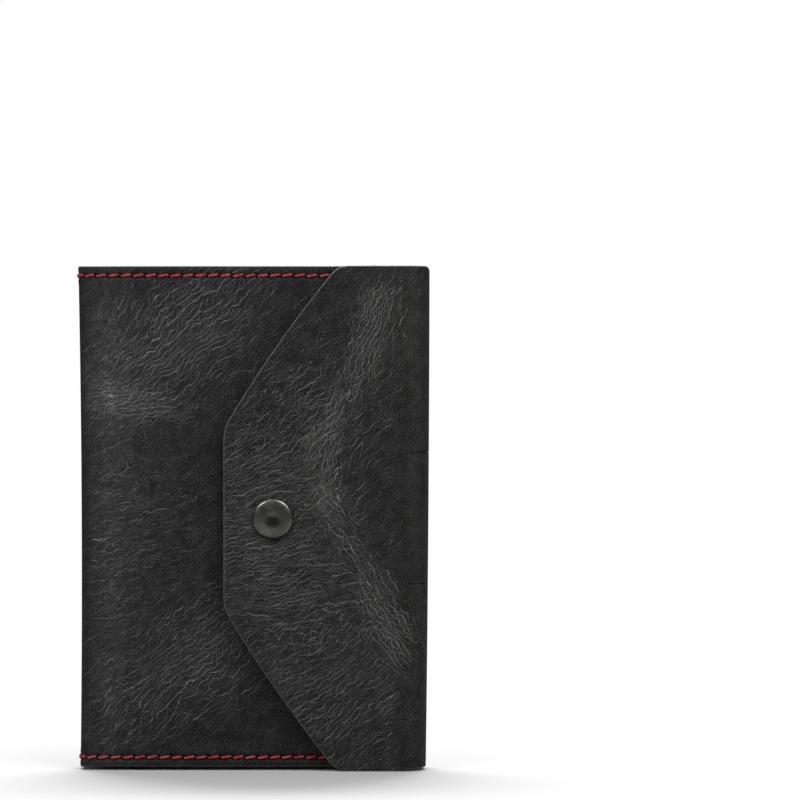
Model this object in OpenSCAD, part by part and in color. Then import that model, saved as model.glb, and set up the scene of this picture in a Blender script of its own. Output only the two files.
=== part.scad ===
// Leather notebook cover with an envelope flap, a ring snap and a pen strap.
// It stands on its bottom edge. X runs from the spine to the fore edge, -Y is the front, Z is up.

/* [Cover] */
// Width of the closed cover, from spine to fore edge
cover_w = 110; // [104:0.5:130]
// Height of the cover
cover_h = 159.2; // [145:0.2:175]
// Thickness of the closed cover, from flap face to back face
cover_t = 18.2; // [17:0.1:24]
// Thickness of the outer hide
hide_t = 1.4; // [1.2:0.1:1.6]
// Thickness of the suede pockets
pocket_t = 1.0; // [0.8:0.1:1.2]
// Thickness of the spine lining
spine_lining_t = 0.8; // [0.6:0.1:1]
// Outside corner radius of the spine
spine_r = 3.5; // [3:0.1:4.5]
// Outside corner radius of the fore edge
fore_edge_r = 7; // [6:0.1:8]
// How much shorter the front panel is at its bottom edge
front_lift = 1.1; // [0.5:0.1:2]
// Distance from the fore edge to the folded free edge of the front panel
front_inset = 17; // [15:0.5:22]
// Distance from the spine to the mouth of each pocket
pocket_inset = 11; // [8:0.5:30]

/* [Flap] */
// Reach of the flap from the fore edge to its blunt nose
flap_reach = 64.6; // [58:0.2:70]
// Space that the snap keeps between flap and front panel
flap_gap = 2.6; // [2.4:0.1:3]
// Radius where each slanted edge meets the nose
nose_r = 13; // [10:0.5:16]
// Radius of the long bow of each slanted edge
slant_r = 400; // [300:10:500]
// Radius where each slanted edge meets the end of the cover
shoulder_r = 7; // [5:0.5:9]

/* [Snap] */
// Distance of the snap from the fore edge
snap_inset = 49; // [46:0.5:52]
// Diameter of the snap cap
cap_d = 12.5; // [11.5:0.1:13]
// Height of the cap above the flap
cap_h = 1.9; // [1.6:0.1:2.2]
// Diameter of the socket and of the stud's flange
socket_d = 11; // [10.6:0.1:11.2]
// Diameter of the stud's head
stud_d = 4.8; // [4.4:0.1:5]
// Free space round the stud's head in the socket
stud_play = 1.05; // [1:0.05:1.2]

/* [Pen strap] */
// Height of the strap between its two slits
strap_h = 41; // [30:1:60]
// Width of each slit
slit_w = 0.3; // [0.2:0.05:0.5]
// Width of hide left between a fold line and the end of a slit
strap_root = 0.6; // [0.5:0.1:1]

/* [Stitching] */
// Distance between stitch holes
stitch_pitch = 3.87; // [3.4:0.01:4.2]
// Diameter of a stitch hole
hole_d = 1.1; // [1:0.05:1.2]
// Diameter of the thread
thread_d = 0.8; // [0.6:0.05:0.9]
// How far a stitch stands out of the hide
thread_proud = 0.35; // [0.3:0.05:0.4]
// Distance from each end of the cover to its seam
seam_margin = 3; // [2.5:0.1:4]
// How far the two ends of a stitch are out of line
stitch_slant = 0.5; // [0.2:0.05:0.6]

/* [Hidden] */
$fn = 48;

hide_color = "#2b2b2c";
flap_color = "#34342f";
suede_color = "#4a4743";
thread_color = "#b52a3c";
antique_color = "#5c5b55";
steel_color = "#9a9a98";

// Planes, from the front: flap face, front panel face, back face
y_flap = -(cap_h + cover_t + thread_proud) / 2 + cap_h;
y_front = y_flap + hide_t + flap_gap;
y_back = y_flap + cover_t;
y_flap_in = y_flap + hide_t;
y_front_pocket = y_front + hide_t;
y_back_pocket = y_back - hide_t - pocket_t;

// Fold lines: the spine stitches stand out, so the hide sits half of that off centre
x_spine = -cover_w / 2 + thread_proud / 2;
x_fore = x_spine + cover_w;
x_spine_fold = x_spine + spine_r;
x_fore_fold = x_fore - fore_edge_r;
x_front_edge = x_fore - front_inset;
x_mouth = x_spine + pocket_inset;
x_pocket_end = x_fore - front_inset + 4;
x_nose = x_fore - flap_reach;
x_snap = x_fore - snap_inset;
z_mid = cover_h / 2;

// Seams
z_top_seam = cover_h - seam_margin;
z_front_bottom_seam = front_lift + seam_margin;
z_back_bottom_seam = seam_margin;
groove_d = thread_d - thread_proud + 0.05;
groove_w = 1.5;
turn_r = (hide_t + pocket_t) / 2;
front_seam_end = x_front_edge - turn_r - 1;
back_seam_end = x_pocket_end - 1.5;
seam_start = x_spine_fold + stitch_pitch / 2;
front_stitches = floor((front_seam_end - seam_start) / stitch_pitch);
back_stitches = floor((back_seam_end - seam_start) / stitch_pitch);
front_stack = hide_t + pocket_t;

// Snap
post_r = 1.5;
post_hole_r = 1.6;
socket_floor_t = 0.4;
socket_depth = flap_gap - 0.5;
socket_mouth_r = stud_d / 2 + stud_play;
socket_groove_r = socket_mouth_r + 0.6;
spring_d = 0.5;
spring_offset = stud_d / 2 + spring_d / 2 + 0.05;
stud_flange_t = 0.4;
stud_head_h = flap_gap - socket_floor_t - stud_flange_t - 0.35;
stud_neck_r = stud_d / 2 - 0.4;
stud_top = stud_flange_t + stud_head_h;
cap_rim = 0.5;
rivet_r = 2.1;
rivet_t = 0.25;
eyelet_d = 9;
eyelet_t = 0.6;
eyelet_bulge = 0.3;
eyelet_bore_r = 0.8;

// Outline of the flap: nose, slanted bow and shoulder meet smoothly at these headings
slant_low = 51;
slant_high = 59;
nose_half = z_mid - nose_r * cos(slant_high)
    - slant_r * (cos(slant_low) - cos(slant_high)) - shoulder_r * (1 - cos(slant_low));

// Points on the arc that turns from heading a0 to heading a1, clockwise, starting at p
function turn(p, r, a0, a1, n) = [
    for (i = [0 : n])
        let (a = a0 + (a1 - a0) * i / n)
            p + r * [sin(a0) - sin(a), cos(a) - cos(a0)]
];

nose_arc = turn([x_nose, nose_half], nose_r, 90, slant_high, 8);
slant_arc = turn(nose_arc[8], slant_r, slant_high, slant_low, 10);
shoulder_arc = turn(slant_arc[10], shoulder_r, slant_low, 0, 8);
upper_edge = concat(
    nose_arc,
    [for (i = [1 : 10]) slant_arc[i]],
    [for (i = [1 : 8]) shoulder_arc[i]],
    [[x_fore_fold, z_mid]]
);
lower_edge = [for (i = [len(upper_edge) - 1 : -1 : 0]) [upper_edge[i][0], -upper_edge[i][1]]];

// Outside of a bend that joins a front face to a back face; it bulges towards +X
module bend_outside(y0, y1, r) {
    intersection() {
        union() {
            translate([0, y0 + r]) circle(r);
            translate([0, y1 - r]) circle(r);
            translate([0, y0 + r]) square([r, y1 - y0 - 2 * r]);
        }
        translate([0, y0 - 1]) square([r + 1, y1 - y0 + 2]);
    }
}

// Section of hide t thick, set depth in from the outside face of the bend
module bend_section(y0, y1, r, depth, t) {
    difference() {
        bend_outside(y0 + depth, y1 - depth, r - depth);
        bend_outside(y0 + depth + t, y1 - depth - t, r - depth - t);
    }
}

// A strip bent round the spine, from z0 up
module spine_strip(depth, t, z0, height) {
    translate([x_spine_fold, 0, z0])
        mirror([1, 0, 0])
            linear_extrude(height) bend_section(y_front, y_back, spine_r, depth, t);
}

// A strip bent round the fore edge, from z0 up
module fore_edge_strip(depth, t, z0, height) {
    translate([x_fore_fold, 0, z0])
        linear_extrude(height) bend_section(y_flap, y_back, fore_edge_r, depth, t);
}

// A flat rectangle of hide between two fold lines
module sheet(x0, x1, y0, t, z0, z1) {
    translate([x0, y0, z0]) cube([x1 - x0, t, z1 - z0]);
}

// Round rod between two points
module rod(a, b, d) {
    v = b - a;
    length = norm(v);
    translate(a)
        rotate([0, acos(v[2] / length), atan2(v[1], v[0])])
            cylinder(h = length, d = d, $fn = 24);
}

// Holes and shallow grooves of one straight seam, through material from y0 to y1
module seam_cut(count, z, y0, y1) {
    for (i = [0 : count])
        translate([seam_start + i * stitch_pitch, y0 - 1, z])
            rotate([-90, 0, 0]) cylinder(h = y1 - y0 + 2, d = hole_d, $fn = 24);
}

module seam_groove(x0, x1, z, y, side) {
    translate([x0, side > 0 ? y - 1 : y - groove_d, z - groove_w / 2])
        cube([x1 - x0, groove_d + 1, groove_w]);
}

// One straight saddle-stitched seam: slanted stitches on both faces and a thread in every hole
module straight_seam(count, z, y0, y1) {
    y_out = y0 - thread_proud + thread_d / 2;
    y_in = y1 + thread_proud - thread_d / 2;
    end = stitch_slant / 2;
    for (i = [0 : count]) {
        x = seam_start + i * stitch_pitch;
        rod([x, y_out, z], [x, y_in, z], thread_d);
        if (i < count)
            for (y = [y_out, y_in])
                rod([x, y, z - end], [x + stitch_pitch, y, z + end], thread_d);
    }
}

// Position on the bend of the spine at distance s from the front fold line, depth below its face
function spine_arc() = spine_r * PI / 2;
function spine_flat() = y_back - y_front - 2 * spine_r;
function spine_length() = 2 * spine_arc() + spine_flat();
function spine_angle(s) =
    s < spine_arc() ? -90 + 90 * s / spine_arc()
    : s < spine_arc() + spine_flat() ? 0
    : 90 * (s - spine_arc() - spine_flat()) / spine_arc();
function spine_centre(s) =
    s < spine_arc() ? y_front + spine_r
    : y_front + spine_r + min(s - spine_arc(), spine_flat());
function spine_point(s, depth, z) =
    let (a = spine_angle(s), r = spine_r - depth)
        [x_spine_fold - r * cos(a), spine_centre(s) + r * sin(a), z];

spine_stitches = 4;
spine_pitch = (spine_length() - stitch_pitch) / spine_stitches;
spine_stack = hide_t + spine_lining_t;
// Stitches run straight across a bend, so they lie deeper there
spine_groove_d = groove_d + 0.5;
spine_out = thread_d / 2 - thread_proud;
spine_in = spine_stack - spine_out;

function spine_s(i) = stitch_pitch / 2 + i * spine_pitch;

module spine_seam_cut(z) {
    for (i = [0 : spine_stitches])
        rod(spine_point(spine_s(i), -1, z), spine_point(spine_s(i), spine_stack + 0.8, z), hole_d);
}

// The seam that runs round the spine
module spine_seam(z) {
    end = stitch_slant / 2;
    for (i = [0 : spine_stitches]) {
        rod(spine_point(spine_s(i), spine_out, z), spine_point(spine_s(i), spine_in, z), thread_d);
        if (i < spine_stitches)
            for (depth = [spine_out, spine_in])
                rod(spine_point(spine_s(i), depth, z + end),
                    spine_point(spine_s(i + 1), depth, z - end), thread_d);
    }
}

// Places a profile of revolution on the snap's axis: its own +Z points to the back
module on_snap(y) {
    translate([x_snap, y, z_mid]) rotate([-90, 0, 0]) children();
}

module back_panel() {
    color(hide_color)
        difference() {
            sheet(x_spine_fold, x_fore_fold, y_back - hide_t, hide_t, 0, cover_h);
            for (z = [z_back_bottom_seam, z_top_seam]) {
                seam_cut(back_stitches, z, y_back_pocket, y_back);
                seam_groove(x_spine_fold - 1, back_seam_end + 1, z, y_back, -1);
            }
        }
}

module back_pocket() {
    color(suede_color)
        difference() {
            sheet(x_mouth, x_pocket_end, y_back_pocket, pocket_t, 0, cover_h);
            for (z = [z_back_bottom_seam, z_top_seam]) {
                seam_cut(back_stitches, z, y_back_pocket, y_back);
                seam_groove(x_mouth - 1, x_pocket_end + 1, z, y_back_pocket, 1);
            }
        }
}

module back_seam(z) {
    color(thread_color) straight_seam(back_stitches, z, y_back_pocket, y_back);
}

module back_top_seam() {
    back_seam(z_top_seam);
}

module back_bottom_seam() {
    back_seam(z_back_bottom_seam);
}

module spine_panel() {
    color(hide_color)
        difference() {
            spine_strip(0, hide_t, 0, cover_h);
            for (z = [z_front_bottom_seam, z_top_seam]) {
                spine_seam_cut(z);
                spine_strip(-1, spine_groove_d + 1, z - groove_w / 2, groove_w);
            }
        }
}

module spine_lining() {
    color(suede_color)
        difference() {
            spine_strip(hide_t, spine_lining_t, front_lift, cover_h - front_lift);
            for (z = [z_front_bottom_seam, z_top_seam]) {
                spine_seam_cut(z);
                spine_strip(spine_stack - groove_d, groove_d + 0.5, z - groove_w / 2, groove_w);
            }
        }
}

module spine_top_seam() {
    color(thread_color) spine_seam(z_top_seam);
}

module spine_bottom_seam() {
    color(thread_color) spine_seam(z_front_bottom_seam);
}

module front_panel() {
    color(hide_color)
        difference() {
            union() {
                sheet(x_spine_fold, x_front_edge - turn_r, y_front, hide_t, front_lift, cover_h);
                // The hide turns in on itself along its free edge
                translate([x_front_edge - turn_r, y_front + turn_r, front_lift])
                    linear_extrude(cover_h - front_lift)
                        intersection() {
                            circle(turn_r);
                            translate([0, -turn_r]) square(2 * turn_r);
                        }
            }
            for (z = [z_front_bottom_seam, z_top_seam]) {
                seam_cut(front_stitches, z, y_front, y_front + front_stack);
                seam_groove(x_spine_fold - 1, front_seam_end + 1, z, y_front, 1);
            }
            on_snap(y_front - 1) cylinder(h = hide_t + 2, r = post_hole_r);
        }
}

module front_pocket() {
    color(suede_color)
        difference() {
            union() {
                sheet(x_mouth, x_front_edge - turn_r, y_front_pocket, pocket_t, front_lift, cover_h);
                // The suede bulges a little over the snap's eyelet
                on_snap(y_front_pocket + pocket_t) cylinder(h = eyelet_bulge, d = eyelet_d + 1);
            }
            for (z = [z_front_bottom_seam, z_top_seam]) {
                seam_cut(front_stitches, z, y_front, y_front + front_stack);
                seam_groove(x_mouth - 1, x_front_edge, z, y_front + front_stack, -1);
            }
            on_snap(y_front_pocket - 1) cylinder(h = 1 + eyelet_t + 0.05, d = eyelet_d + 0.2);
        }
}

module front_top_seam() {
    color(thread_color) straight_seam(front_stitches, z_top_seam, y_front, y_front + front_stack);
}

module front_bottom_seam() {
    color(thread_color)
        straight_seam(front_stitches, z_front_bottom_seam, y_front, y_front + front_stack);
}

module fore_edge_fold() {
    color(hide_color)
        difference() {
            fore_edge_strip(0, hide_t, 0, cover_h);
            // Window between the two slits, where the pen strap sits
            translate([x_fore_fold + strap_root, y_flap - 1, z_mid - strap_h / 2 - slit_w])
                cube([fore_edge_r + 1, cover_t + 2, strap_h + 2 * slit_w]);
        }
}

module pen_strap() {
    color(hide_color)
        intersection() {
            fore_edge_strip(0, hide_t, z_mid - strap_h / 2, strap_h);
            translate([x_fore_fold + strap_root, y_flap - 1, 0])
                cube([fore_edge_r + 1, cover_t + 2, cover_h]);
        }
}

module flap() {
    color(flap_color)
        difference() {
            translate([0, y_flap_in, z_mid])
                rotate([90, 0, 0])
                    linear_extrude(hide_t) polygon(concat(upper_edge, lower_edge));
            on_snap(y_flap - 1) cylinder(h = hide_t + 2, r = post_hole_r);
        }
}

module snap_cap() {
    dome_r = cap_d / 2 - cap_rim;
    dome_h = cap_h - 0.3;
    sphere_r = (dome_r * dome_r + dome_h * dome_h) / (2 * dome_h);
    rivet_y = hide_t + socket_floor_t;
    color(antique_color)
        on_snap(y_flap)
            rotate_extrude() {
                intersection() {
                    translate([0, sphere_r - cap_h]) circle(sphere_r, $fn = 96);
                    translate([0, -cap_h]) square([dome_r, cap_h]);
                }
                translate([dome_r, -cap_rim]) circle(cap_rim);
                square([post_r, rivet_y]);
                translate([0, rivet_y]) square([rivet_r, rivet_t]);
            }
}

module snap_socket() {
    lip = 0.5;
    color(steel_color)
        on_snap(y_flap_in)
            rotate_extrude()
                polygon([
                    [post_hole_r, 0], [socket_d / 2, 0], [socket_d / 2, lip],
                    [socket_groove_r + 0.6, 1.2], [socket_groove_r + 0.6, socket_depth],
                    [socket_mouth_r, socket_depth], [socket_mouth_r, socket_depth - lip],
                    [socket_groove_r, socket_depth - lip], [socket_groove_r, socket_floor_t],
                    [post_hole_r, socket_floor_t]
                ]);
}

module snap_spring() {
    half = sqrt(pow(socket_groove_r, 2) - pow(spring_offset + spring_d / 2, 2)) - 0.1;
    y = y_flap_in + socket_depth - 0.5 - spring_d / 2 - 0.05;
    color(steel_color)
        for (side = [-1, 1])
            rod([x_snap - half, y, z_mid + side * spring_offset],
                [x_snap + half, y, z_mid + side * spring_offset], spring_d);
}

module snap_stud() {
    color(steel_color)
        on_snap(y_front)
            mirror([0, 0, 1])
                rotate_extrude()
                    polygon([
                        [post_hole_r, 0], [socket_d / 2, 0], [socket_d / 2, stud_flange_t],
                        [stud_neck_r, stud_flange_t], [stud_neck_r, stud_flange_t + 0.6],
                        [stud_d / 2, stud_flange_t + 0.8], [stud_d / 2, stud_top - 0.3],
                        [stud_d / 2 - 0.3, stud_top], [post_hole_r, stud_top]
                    ]);
}

module snap_eyelet() {
    color(steel_color)
        on_snap(y_front_pocket)
            rotate_extrude()
                polygon([
                    [eyelet_bore_r, eyelet_t], [eyelet_d / 2, eyelet_t], [eyelet_d / 2, 0],
                    [post_r, 0], [post_r, -hide_t - stud_top + 0.2],
                    [eyelet_bore_r, -hide_t - stud_top + 0.2]
                ]);
}

back_panel();
back_pocket();
back_top_seam();
back_bottom_seam();
spine_panel();
spine_lining();
spine_top_seam();
spine_bottom_seam();
front_panel();
front_pocket();
front_top_seam();
front_bottom_seam();
fore_edge_fold();
pen_strap();
flap();
snap_cap();
snap_socket();
snap_spring();
snap_stud();
snap_eyelet();
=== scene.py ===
"""Looks of a leather notebook cover with an envelope flap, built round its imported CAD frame."""
import math

import bmesh
import bpy
import numpy as np
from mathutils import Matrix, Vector


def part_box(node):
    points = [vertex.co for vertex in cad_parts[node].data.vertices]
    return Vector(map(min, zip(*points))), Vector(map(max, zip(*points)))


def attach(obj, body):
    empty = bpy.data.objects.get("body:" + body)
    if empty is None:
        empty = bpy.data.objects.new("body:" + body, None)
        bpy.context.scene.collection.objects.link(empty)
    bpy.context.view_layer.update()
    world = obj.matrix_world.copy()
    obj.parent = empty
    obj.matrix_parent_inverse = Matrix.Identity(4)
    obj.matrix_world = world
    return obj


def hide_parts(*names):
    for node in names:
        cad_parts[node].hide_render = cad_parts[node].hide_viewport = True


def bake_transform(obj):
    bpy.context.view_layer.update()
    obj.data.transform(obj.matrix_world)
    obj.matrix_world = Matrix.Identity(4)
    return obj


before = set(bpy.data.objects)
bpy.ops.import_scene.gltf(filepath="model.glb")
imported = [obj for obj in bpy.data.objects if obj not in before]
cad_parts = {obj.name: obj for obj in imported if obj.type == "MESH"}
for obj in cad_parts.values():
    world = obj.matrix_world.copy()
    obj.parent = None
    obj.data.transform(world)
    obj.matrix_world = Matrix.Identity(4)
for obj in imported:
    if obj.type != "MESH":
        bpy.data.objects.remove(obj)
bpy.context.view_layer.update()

MM = 0.001           # in metres


# ---------------- sizes, in millimetres, from the frame
def box_mm(node):
    """Lowest and highest corner of a CAD node, in millimetres."""
    low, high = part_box(node)
    return np.array(low) / MM, np.array(high) / MM


BACK_LOW, BACK_HIGH = box_mm("back_panel")
SPINE_LOW, SPINE_HIGH = box_mm("spine_panel")
FORE_LOW, FORE_HIGH = box_mm("fore_edge_fold")
FLAP_LOW, _ = box_mm("flap")
FRONT_LOW, FRONT_HIGH = box_mm("front_panel")
STRAP_LOW, STRAP_HIGH = box_mm("pen_strap")
CAP_LOW, CAP_HIGH = box_mm("snap_cap")
POCKET_LOW, POCKET_HIGH = box_mm("front_pocket")
BACK_POCKET_LOW, BACK_POCKET_HIGH = box_mm("back_pocket")

HEIGHT = BACK_HIGH[2]
HIDE = BACK_HIGH[1] - BACK_LOW[1]
POCKET = BACK_POCKET_HIGH[1] - BACK_POCKET_LOW[1]
X_SPINE, X_SPINE_FOLD = SPINE_LOW[0], SPINE_HIGH[0]
X_FORE, X_FORE_FOLD = FORE_HIGH[0], FORE_LOW[0]
Y_FLAP, Y_FRONT, Y_BACK = FORE_LOW[1], SPINE_LOW[1], SPINE_HIGH[1]
SPINE_R = X_SPINE_FOLD - X_SPINE
FORE_R = X_FORE - X_FORE_FOLD
Z_MID = HEIGHT / 2
SNAP_X = (CAP_LOW[0] + CAP_HIGH[0]) / 2
CAP_R = (CAP_HIGH[0] - CAP_LOW[0]) / 2
CAP_H = Y_FLAP - CAP_LOW[1]
SPINE_LINING = 0.8   # its thickness, which its box doesn't give, as it runs round the spine's corners
PITCH = 3.87         # from stitch hole to stitch hole
SLIT = 0.28          # width of the two slits

# ---------------- the hide, unrolled: u runs along its outside face
SPINE_FLAT = Y_BACK - Y_FRONT - 2 * SPINE_R
FORE_FLAT = Y_BACK - Y_FLAP - 2 * FORE_R
SPINE_ARC = SPINE_R * math.pi / 2
FORE_ARC = FORE_R * math.pi / 2
U_FRONT = -(SPINE_FLAT / 2 + SPINE_ARC)          # front fold line of the spine
U_BACK = -U_FRONT                                # back fold line of the spine
U_FORE_BACK = U_BACK + X_FORE_FOLD - X_SPINE_FOLD
U_FORE_MID = U_FORE_BACK + FORE_ARC + FORE_FLAT / 2
U_FLAP = U_FORE_BACK + 2 * FORE_ARC + FORE_FLAT  # hinge line of the flap
U_BACK_MID = (U_BACK + U_FORE_BACK) / 2


def u_on_front(x):
    return U_FRONT - (x - X_SPINE_FOLD)


def u_on_back(x):
    return U_BACK + (x - X_SPINE_FOLD)


def u_on_flap(x):
    return U_FLAP + (X_FORE_FOLD - x)


def section(u, depth):
    """Place in the cover's cross-section of points at u along the outside face and depth below it."""
    u, depth = np.broadcast_arrays(np.asarray(u, float), np.asarray(depth, float))
    x, y = np.zeros(u.shape), np.zeros(u.shape)

    def put(where, px, py):
        x[where] = np.broadcast_to(px, u.shape)[where]
        y[where] = np.broadcast_to(py, u.shape)[where]

    def corner(start, centre, r, turn):
        """A quarter bend from u = start; turn gives the outward direction at an angle into the bend."""
        angle = np.clip((u - start) / r, 0, math.pi / 2)
        dx, dy = turn(angle)
        inside = (u > start) & (u < start + r * math.pi / 2)
        put(inside, centre[0] + (r - depth) * dx, centre[1] + (r - depth) * dy)

    put(u <= U_FRONT, X_SPINE_FOLD + (U_FRONT - u), Y_FRONT + depth)
    put(np.abs(u) <= SPINE_FLAT / 2, X_SPINE + depth, (Y_FRONT + Y_BACK) / 2 + u)
    put((u >= U_BACK) & (u <= U_FORE_BACK), X_SPINE_FOLD + (u - U_BACK), Y_BACK - depth)
    put(np.abs(u - U_FORE_MID) <= FORE_FLAT / 2, X_FORE - depth, (Y_FLAP + Y_BACK) / 2 - (u - U_FORE_MID))
    put(u >= U_FLAP, X_FORE_FOLD - (u - U_FLAP), Y_FLAP + depth)
    corner(U_FRONT, (X_SPINE_FOLD, Y_FRONT + SPINE_R), SPINE_R, lambda a: (-np.sin(a), -np.cos(a)))
    corner(SPINE_FLAT / 2, (X_SPINE_FOLD, Y_BACK - SPINE_R), SPINE_R, lambda a: (-np.cos(a), np.sin(a)))
    corner(U_FORE_BACK, (X_FORE_FOLD, Y_BACK - FORE_R), FORE_R, lambda a: (np.sin(a), np.cos(a)))
    corner(U_FLAP - FORE_ARC, (X_FORE_FOLD, Y_FLAP + FORE_R), FORE_R, lambda a: (np.cos(a), -np.sin(a)))
    return x, y


def smooth(t):
    """Rises softly from 0 to 1 as t does."""
    t = np.clip(t, 0, 1)
    return t * t * (3 - 2 * t)


SPINE_SWAY = (-0.1, 2.0, -2.7)   # sideways, at the foot of the cover, then for t and for t squared up it
FORE_SWAY = (-0.8, 2.1, -0.9)
LOW_CORNER_LIFT = 1.0
TOP_CORNER_R = 1.5


def sway(x, y, z):
    """The small bends of a hand-made cover: its spine bows, its fore edge leans, its low corner lifts,
    and its top corner is worn round."""
    t = z / HEIGHT
    spine_way, fore_way = (a + b * t + c * t * t for a, b, c in (SPINE_SWAY, FORE_SWAY))
    x = x + smooth((10 - x) / 65) * spine_way + smooth(x / 55) * fore_way
    lift = smooth((x - 40) / 15) ** 1.5 * np.clip(1 - z / 30, 0, 1)
    beyond = np.clip((x - (X_FORE - 1.1)) / TOP_CORNER_R, 0, 1)
    drop = (1 - np.sqrt(1 - beyond ** 2)) * smooth((z - HEIGHT + 12) / 12)
    return x, y, z + LOW_CORNER_LIFT * lift - TOP_CORNER_R * drop


SPINE_SINK = 1.1     # how far the front sinks in towards the spine


def front_relief(x, z):
    """How far the front panel lies below its flat plane."""
    spine_side = SPINE_SINK * np.clip(1 - (x - X_SPINE_FOLD) / 26, 0, 1) ** 2
    waves = 0.10 * np.sin(x / 9 + z / 23) + 0.08 * np.sin(z / 11 - x / 17 + 1.1)
    return spine_side + waves * smooth((x - X_SPINE_FOLD) / 12)


def flap_relief(x, z):
    """How far the flap lies below its flat plane: it waves a little between snap and fold."""
    waves = 0.14 * np.sin(z / 13 + x / 21) + 0.10 * np.sin(x / 8 - z / 19 + 0.6)
    away_from_snap = 1 - np.exp(-((x - SNAP_X) ** 2 + (z - Z_MID) ** 2) / 9.0 ** 2)
    return waves * smooth((X_FORE_FOLD - x) / 14) * away_from_snap


def back_relief(x, z):
    """How far the back lies inside its flat plane: it waves a little between its two folds."""
    waves = 0.12 * np.sin(x / 12 + z / 19) + 0.1 * np.sin(z / 14 - x / 23)
    return waves * smooth((x - X_SPINE_FOLD) / 10) * smooth((X_FORE_FOLD - x) / 10)


def relief(u, v):
    """Depth of the outside face below the plain section, anywhere on the hide."""
    x, _ = section(u, 0 * u)
    deep = np.zeros(np.shape(u))
    deep = np.where(u <= U_FRONT, front_relief(x, v), deep)
    deep = np.where(u >= U_FLAP, flap_relief(x, v), deep)
    deep = np.where((u >= U_BACK) & (u <= U_FORE_BACK), back_relief(x, v), deep)
    near_fold = np.where((u > U_FRONT) & (u < 0), SPINE_SINK * smooth(1 + (U_FRONT - u) / SPINE_ARC), 0)
    return deep + near_fold


def place(u, v, depth):
    """Points of the hide in the shared frame, in millimetres: u round the cover, v up it, depth into the hide."""
    u, v, depth = np.broadcast_arrays(np.asarray(u, float), np.asarray(v, float), np.asarray(depth, float))
    x, y = section(u, depth + relief(u, v))
    return np.stack(sway(x, y, v), -1)


# ---------------- stitch holes
SEAM_ENDS = 0.8      # a CAD seam is this much longer than its stitches


def seam_height(node):
    low, high = box_mm(node)
    return (low[2] + high[2]) / 2


def stitches_in(node):
    low, high = box_mm(node)
    return round((high[0] - low[0] - SEAM_ENDS) / PITCH)


Z_TOP_SEAM = seam_height("front_top_seam")
Z_FRONT_LOW_SEAM = seam_height("front_bottom_seam")
Z_BACK_LOW_SEAM = seam_height("back_bottom_seam")
SPINE_STITCHES = 4
FRONT_HOLES = U_FRONT - PITCH / 2 - PITCH * np.arange(stitches_in("front_top_seam") + 1)
SPINE_HOLES = np.linspace(U_FRONT + PITCH / 2, U_BACK - PITCH / 2, SPINE_STITCHES + 1)
BACK_HOLES = U_BACK + PITCH / 2 + PITCH * np.arange(stitches_in("back_top_seam") + 1)
SEAM_ROWS = [(FRONT_HOLES, Z_TOP_SEAM), (FRONT_HOLES, Z_FRONT_LOW_SEAM), (SPINE_HOLES, Z_TOP_SEAM),
             (SPINE_HOLES, Z_FRONT_LOW_SEAM), (BACK_HOLES, Z_TOP_SEAM), (BACK_HOLES, Z_BACK_LOW_SEAM)]

PIT_LONG, PIT_HIGH, PIT_DEEP = 0.72, 0.95, 1.1
FURROW_DEEP, SWELL_HIGH, SWELL_OFF = 0.22, 0.10, 1.7     # the swell runs beside the furrow, this far off it


def stitch_pits(u, v):
    """1 in the middle of a stitch hole, 0 outside it."""
    pits = np.zeros(np.shape(u))
    for holes, z in SEAM_ROWS:
        near = np.min(np.abs(u[..., None] - holes), -1)
        pits = np.maximum(pits, np.clip(1.15 - near / PIT_LONG - np.abs(v - z) / PIT_HIGH, 0, 1))
    return pits


def stitch_dents(u, v):
    """Depth of the pits at the stitch holes and of the furrow that the thread pulls into the hide."""
    deep = PIT_DEEP * stitch_pits(u, v)
    for holes, z in SEAM_ROWS:
        along = (u > holes.min() - 1) & (u < holes.max() + 1)
        furrow = FURROW_DEEP * np.exp(-((v - z) / 0.8) ** 2)
        swell = SWELL_HIGH * np.exp(-((np.abs(v - z) - SWELL_OFF) / 0.8) ** 2)
        deep = deep + np.where(along, furrow - swell, 0)
    return deep


def snap_press(u, v, reach):
    """How far the snap presses into the hide round it."""
    x, _ = section(u, 0 * u)
    return 0.3 * np.exp(-(np.hypot(x - SNAP_X, v - Z_MID) / reach) ** 4)


def snap_dent(u, v):
    """The cap's rim presses into the flap."""
    return np.where(u > U_FLAP, snap_press(u, v, 7.4), 0)


# ---------------- meshes
def add_field(mesh, label, values):
    """A value at each point for the shaders: a number, or a vector where values has columns."""
    kind, key = ("FLOAT_VECTOR", "vector") if values.ndim == 2 else ("FLOAT", "value")
    mesh.attributes.new(label, kind, "POINT").data.foreach_set(key, values.astype(np.float32).ravel())


def weld(mesh, distance):
    """Joins points that lie together, turns every face outwards and shades the mesh smooth."""
    work = bmesh.new()
    work.from_mesh(mesh)
    bmesh.ops.remove_doubles(work, verts=work.verts, dist=distance)
    bmesh.ops.recalc_face_normals(work, faces=work.faces)
    work.to_mesh(mesh)
    work.free()
    mesh.shade_smooth()


def new_object(name, mesh, material):
    piece = bpy.data.objects.new(name, mesh)
    bpy.context.scene.collection.objects.link(piece)
    mesh.materials.append(material)
    return piece


# ---------------- sheets of hide
HOLE_STEP = PITCH / 10   # from column to column where there are stitch holes
EDGE_R = 0.38        # rounding of a free edge
CUT_R = 0.12         # rounding of the two slits, which are cut sharp
# The slits' walls show less of the undyed hide than the free edges do, which paints shade into the narrow slits.
BARE_EDGE, BARE_SLIT_SHADED = 1.0, 0.2      # how much of the undyed hide shows on them
SIDES = {"top": (-1, slice(None)), "bottom": (0, slice(None)),
         "low_u": (slice(None), 0), "high_u": (slice(None), -1)}
OUTWARD = {"top": (0, 1), "bottom": (0, -1), "low_u": (-1, 0), "high_u": (1, 0)}


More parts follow.
